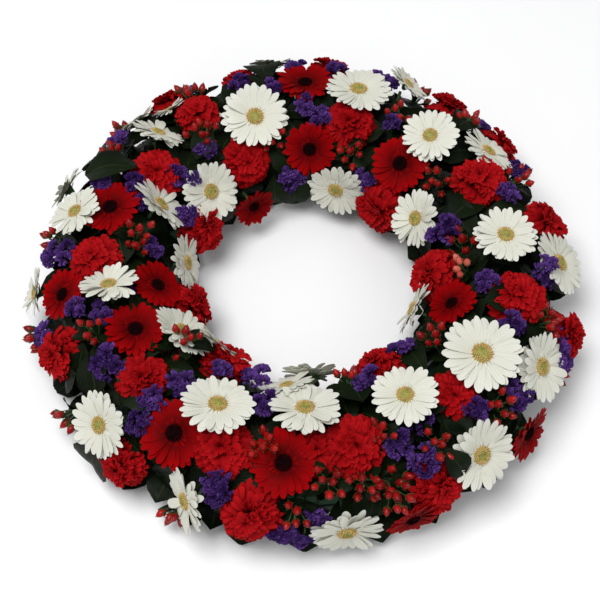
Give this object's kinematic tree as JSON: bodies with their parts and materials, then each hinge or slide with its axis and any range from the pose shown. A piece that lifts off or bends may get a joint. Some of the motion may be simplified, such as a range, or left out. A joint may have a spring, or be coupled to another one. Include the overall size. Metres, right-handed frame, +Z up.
{
  "type": "funeral wreath",
  "caption": "Round funeral wreath of white and red gerberas, red carnations, statice, berries and leaves on a foam ring in a tray.",
  "frame": {"origin": "middle of the underside of the tray, where the wreath rests on a flat surface", "axes": "+Z up through the flowers, with the central hole along it; -Y towards the viewer of the picture, +X to the right"},
  "size_m": [0.5581, 0.5572, 0.1286],
  "materials": {
    "petals_white": "soft, matt, finely veined",
    "petals_scarlet": "velvety, veined",
    "petals_carnation": "velvety, frilled",
    "statice": "papery",
    "berries": "glossy skin",
    "leaves": "waxy, satin",
    "foam": "wet, open pored",
    "tray": "satin moulded"
  },
  "bodies": {
    "root": {"base_tray": "tray", "carnation_01": "petals_carnation", "carnation_02": "petals_carnation", "carnation_03": "petals_carnation", "carnation_04": "petals_carnation", "carnation_05": "petals_carnation", "carnation_06": "petals_carnation", "carnation_07": "petals_carnation", "carnation_08": "petals_carnation", "carnation_09": "petals_carnation", "carnation_10": "petals_carnation", "carnation_11": "petals_carnation", "carnation_12": "petals_carnation", "carnation_13": "petals_carnation", "carnation_14": "petals_carnation", "foam_ring": "foam", "hypericum_01": "berries", "hypericum_02": "berries", "inner_leaves": "leaves", "leaf_bed": "leaves", "outer_leaves": "leaves", "red_gerbera_01": "petals_scarlet", "red_gerbera_02": "petals_scarlet", "red_gerbera_03": "petals_scarlet", "red_gerbera_04": "petals_scarlet", "red_gerbera_05": "petals_scarlet", "red_gerbera_06": "petals_scarlet", "red_gerbera_07": "petals_scarlet", "red_gerbera_08": "petals_scarlet", "red_gerbera_09": "petals_scarlet", "red_gerbera_10": "petals_scarlet", "statice_01": "statice", "statice_02": "statice", "white_gerbera_01": "petals_white", "white_gerbera_02": "petals_white", "white_gerbera_03": "petals_white", "white_gerbera_04": "petals_white", "white_gerbera_05": "petals_white", "white_gerbera_06": "petals_white", "white_gerbera_07": "petals_white", "white_gerbera_08": "petals_white", "white_gerbera_09": "petals_white", "white_gerbera_10": "petals_white", "white_gerbera_11": "petals_white", "white_gerbera_12": "petals_white", "white_gerbera_13": "petals_white", "white_gerbera_14": "petals_white", "white_gerbera_15": "petals_white", "white_gerbera_16": "petals_white", "white_gerbera_17": "petals_white", "white_gerbera_18": "petals_white", "white_gerbera_19": "petals_white", "white_gerbera_20": "petals_white", "white_gerbera_21": "petals_white", "white_gerbera_22": "petals_white", "white_gerbera_23": "petals_white", "white_gerbera_24": "petals_white", "white_gerbera_25": "petals_white", "white_gerbera_26": "petals_white"}
  },
  "joints": []
}
